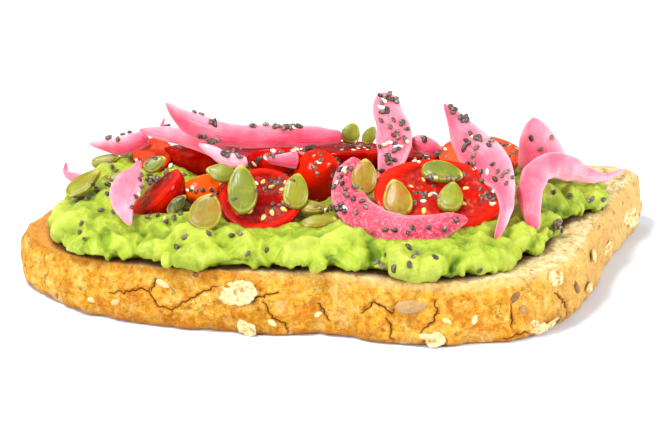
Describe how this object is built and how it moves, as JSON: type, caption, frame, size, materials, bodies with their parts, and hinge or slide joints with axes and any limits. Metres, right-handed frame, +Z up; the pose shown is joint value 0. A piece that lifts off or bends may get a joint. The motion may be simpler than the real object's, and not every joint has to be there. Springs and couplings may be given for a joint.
{
  "type": "avocado toast",
  "caption": "Slice of seeded country bread lying flat, spread with mashed avocado and topped with cherry tomato halves, pickled onion slivers and pumpkin seeds.",
  "frame": {"origin": "under the middle of the slice, on the surface it lies on", "axes": "+X along the length of the slice, towards its pointed end; -Y towards its long, nearly straight crust; +Z up through the spread and toppings"},
  "size_m": [0.1702, 0.0986, 0.0498],
  "materials": {
    "bread_crust": "toasted bread: dry, golden brown crust with fine cracks, grains and oat flakes; matt",
    "mashed_avocado": "roughly mashed ripe avocado: soft yellow green, lumpy, moist half gloss",
    "cherry_tomato": "cut cherry tomato: glossy red skin, wet flesh with pale yellow seeds",
    "pickled_onion": "pickled red onion: translucent pink with paler edges, moist",
    "pumpkin_seed": "shelled pumpkin seed: olive green, faint sheen, paler rim",
    "chia_seed": "chia seed: smooth mottled grey and black",
    "pale_seed": "pale seeds, grains and oat flakes: cream, dry"
  },
  "bodies": {
    "root": {"bread": "bread_crust", "avocado_spread": "mashed_avocado", "tomato_1": "cherry_tomato", "tomato_2": "cherry_tomato", "tomato_3": "cherry_tomato", "tomato_4": "cherry_tomato", "tomato_5": "cherry_tomato", "tomato_6": "cherry_tomato", "tomato_7": "cherry_tomato", "tomato_8": "cherry_tomato", "tomato_9": "cherry_tomato", "tomato_10": "cherry_tomato", "tomato_11": "cherry_tomato", "onion_1": "pickled_onion", "onion_2": "pickled_onion", "onion_3": "pickled_onion", "onion_4": "pickled_onion", "onion_5": "pickled_onion", "onion_6": "pickled_onion", "onion_7": "pickled_onion", "onion_8": "pickled_onion", "onion_9": "pickled_onion", "onion_10": "pickled_onion", "onion_11": "pickled_onion", "onion_12": "pickled_onion", "onion_13": "pickled_onion", "onion_14": "pickled_onion", "pumpkin_seed_1": "pumpkin_seed", "pumpkin_seed_2": "pumpkin_seed", "pumpkin_seed_3": "pumpkin_seed", "pumpkin_seed_4": "pumpkin_seed", "pumpkin_seed_5": "pumpkin_seed", "pumpkin_seed_6": "pumpkin_seed", "pumpkin_seed_7": "pumpkin_seed", "pumpkin_seed_8": "pumpkin_seed", "pumpkin_seed_9": "pumpkin_seed", "pumpkin_seed_10": "pumpkin_seed", "pumpkin_seed_11": "pumpkin_seed", "pumpkin_seed_12": "pumpkin_seed", "pumpkin_seed_13": "pumpkin_seed", "pumpkin_seed_14": "pumpkin_seed", "pumpkin_seed_15": "pumpkin_seed", "pumpkin_seed_16": "pumpkin_seed", "pumpkin_seed_17": "pumpkin_seed", "pumpkin_seed_18": "pumpkin_seed"}
  },
  "joints": []
}
